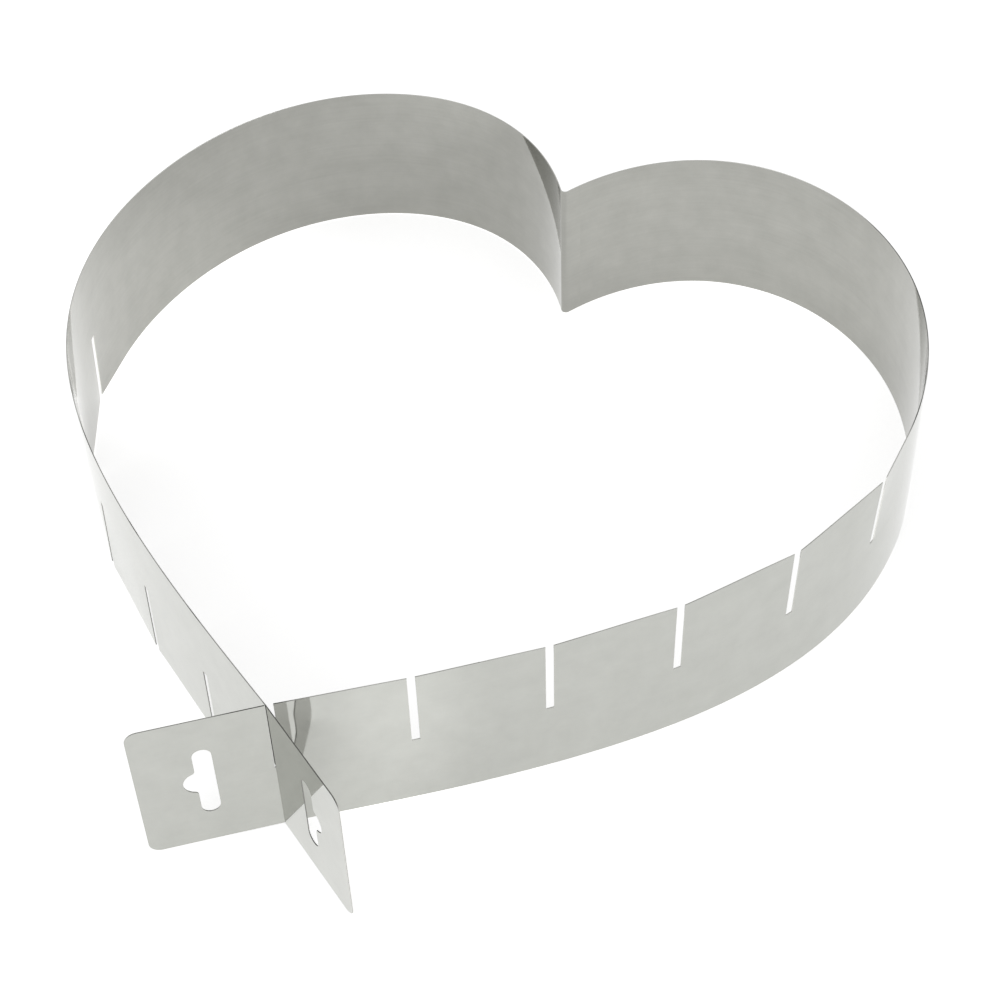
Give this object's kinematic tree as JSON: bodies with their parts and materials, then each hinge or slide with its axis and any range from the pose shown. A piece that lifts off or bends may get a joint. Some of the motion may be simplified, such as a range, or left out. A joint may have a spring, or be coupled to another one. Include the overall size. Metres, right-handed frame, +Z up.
{
  "type": "adjustable heart cake ring",
  "caption": "Heart-shaped cake ring of thin stainless strip, folded at the cleft, whose slit arms hook into each other to set its size.",
  "frame": {"origin": "on the table, under the middle of the ring's outer box", "axes": "+Z up along the strip's height, +Y from the point of the heart to its lobes, X = 0 the mirror plane"},
  "size_m": [0.2536, 0.2682, 0.05],
  "materials": {
    "stainless_strip": "bright rolled stainless sheet with faint lengthwise rolling lines"
  },
  "bodies": {
    "cleft_fold": {"cleft_fold": "stainless_strip"},
    "left_leaf": {"left_leaf": "stainless_strip"},
    "left_crown": {"left_crown": "stainless_strip"},
    "left_shoulder": {"left_shoulder": "stainless_strip"},
    "left_rear_arm": {"left_rear_arm": "stainless_strip"},
    "left_front_arm": {"left_front_arm": "stainless_strip"},
    "left_hang_tab": {"left_hang_tab": "stainless_strip"},
    "right_leaf": {"right_leaf": "stainless_strip"},
    "right_lobe": {"right_lobe": "stainless_strip"},
    "right_rear_arm": {"right_rear_arm": "stainless_strip"},
    "right_front_arm": {"right_front_arm": "stainless_strip"},
    "right_hang_tab": {"right_hang_tab": "stainless_strip"}
  },
  "joints": [
    {"name": "left_fold_flex", "type": "hinge", "parent": "cleft_fold", "child": "left_leaf", "pos_m": [-0.00803, 0.11211, 0], "axis": [0, 0, 1], "range_deg": [-1.9, 1.9], "stiffness_Nm_per_rad": 0.3},
    {"name": "left_crown_flex", "type": "hinge", "parent": "left_leaf", "child": "left_crown", "pos_m": [-0.0526, 0.13396, 0], "axis": [0, 0, 1], "range_deg": [-6, 6], "stiffness_Nm_per_rad": 0.21},
    {"name": "left_side_flex", "type": "hinge", "parent": "left_shoulder", "child": "left_rear_arm", "pos_m": [-0.12663, 0.0421, 0], "axis": [0, 0, 1], "range_deg": [-10.2, 10.2], "stiffness_Nm_per_rad": 0.17},
    {"name": "left_arm_flex", "type": "hinge", "parent": "left_rear_arm", "child": "left_front_arm", "pos_m": [-0.08645, -0.04645, 0], "axis": [0, 0, 1], "range_deg": [-5, 5], "stiffness_Nm_per_rad": 0.17},
    {"name": "left_tab_flex", "type": "hinge", "parent": "left_front_arm", "child": "left_hang_tab", "pos_m": [0, -0.11299, 0], "axis": [0, 0, 1], "range_deg": [-12, 12], "stiffness_Nm_per_rad": 0.17},
    {"name": "left_unhook_twist", "type": "hinge", "parent": "left_crown", "child": "left_shoulder", "pos_m": [-0.10981, 0.10044, 0.017], "axis": [-0.5545, -0.8322, 0], "range_deg": [0, 16], "stiffness_Nm_per_rad": 0.34},
    {"name": "right_fold_flex", "type": "hinge", "parent": "cleft_fold", "child": "right_leaf", "pos_m": [0.00803, 0.11211, 0], "axis": [0, 0, -1], "range_deg": [-1.9, 1.9], "stiffness_Nm_per_rad": 0.3},
    {"name": "right_crown_flex", "type": "hinge", "parent": "right_leaf", "child": "right_lobe", "pos_m": [0.0526, 0.13396, 0], "axis": [0, 0, -1], "range_deg": [-6.1, 6.1], "stiffness_Nm_per_rad": 0.21},
    {"name": "right_side_flex", "type": "hinge", "parent": "right_lobe", "child": "right_rear_arm", "pos_m": [0.12663, 0.0421, 0], "axis": [0, 0, -1], "range_deg": [-10.2, 10.2], "stiffness_Nm_per_rad": 0.17},
    {"name": "right_arm_flex", "type": "hinge", "parent": "right_rear_arm", "child": "right_front_arm", "pos_m": [0.08645, -0.04645, 0], "axis": [0, 0, -1], "range_deg": [-5, 5], "stiffness_Nm_per_rad": 0.17},
    {"name": "right_tab_flex", "type": "hinge", "parent": "right_front_arm", "child": "right_hang_tab", "pos_m": [0, -0.11299, 0], "axis": [0, 0, -1], "range_deg": [-12, 12], "stiffness_Nm_per_rad": 0.17}
  ],
  "couplings": [
    {"joint": "left_fold_flex", "follows": "left_crown_flex", "ratio": 0.3006},
    {"joint": "left_side_flex", "follows": "left_crown_flex", "ratio": -1.6762},
    {"joint": "left_arm_flex", "follows": "left_crown_flex", "ratio": -0.8203},
    {"joint": "right_fold_flex", "follows": "left_crown_flex", "ratio": 0.3006},
    {"joint": "right_crown_flex", "follows": "left_crown_flex", "ratio": 1},
    {"joint": "right_side_flex", "follows": "left_crown_flex", "ratio": -1.6762},
    {"joint": "right_arm_flex", "follows": "left_crown_flex", "ratio": -0.8203}
  ]
}
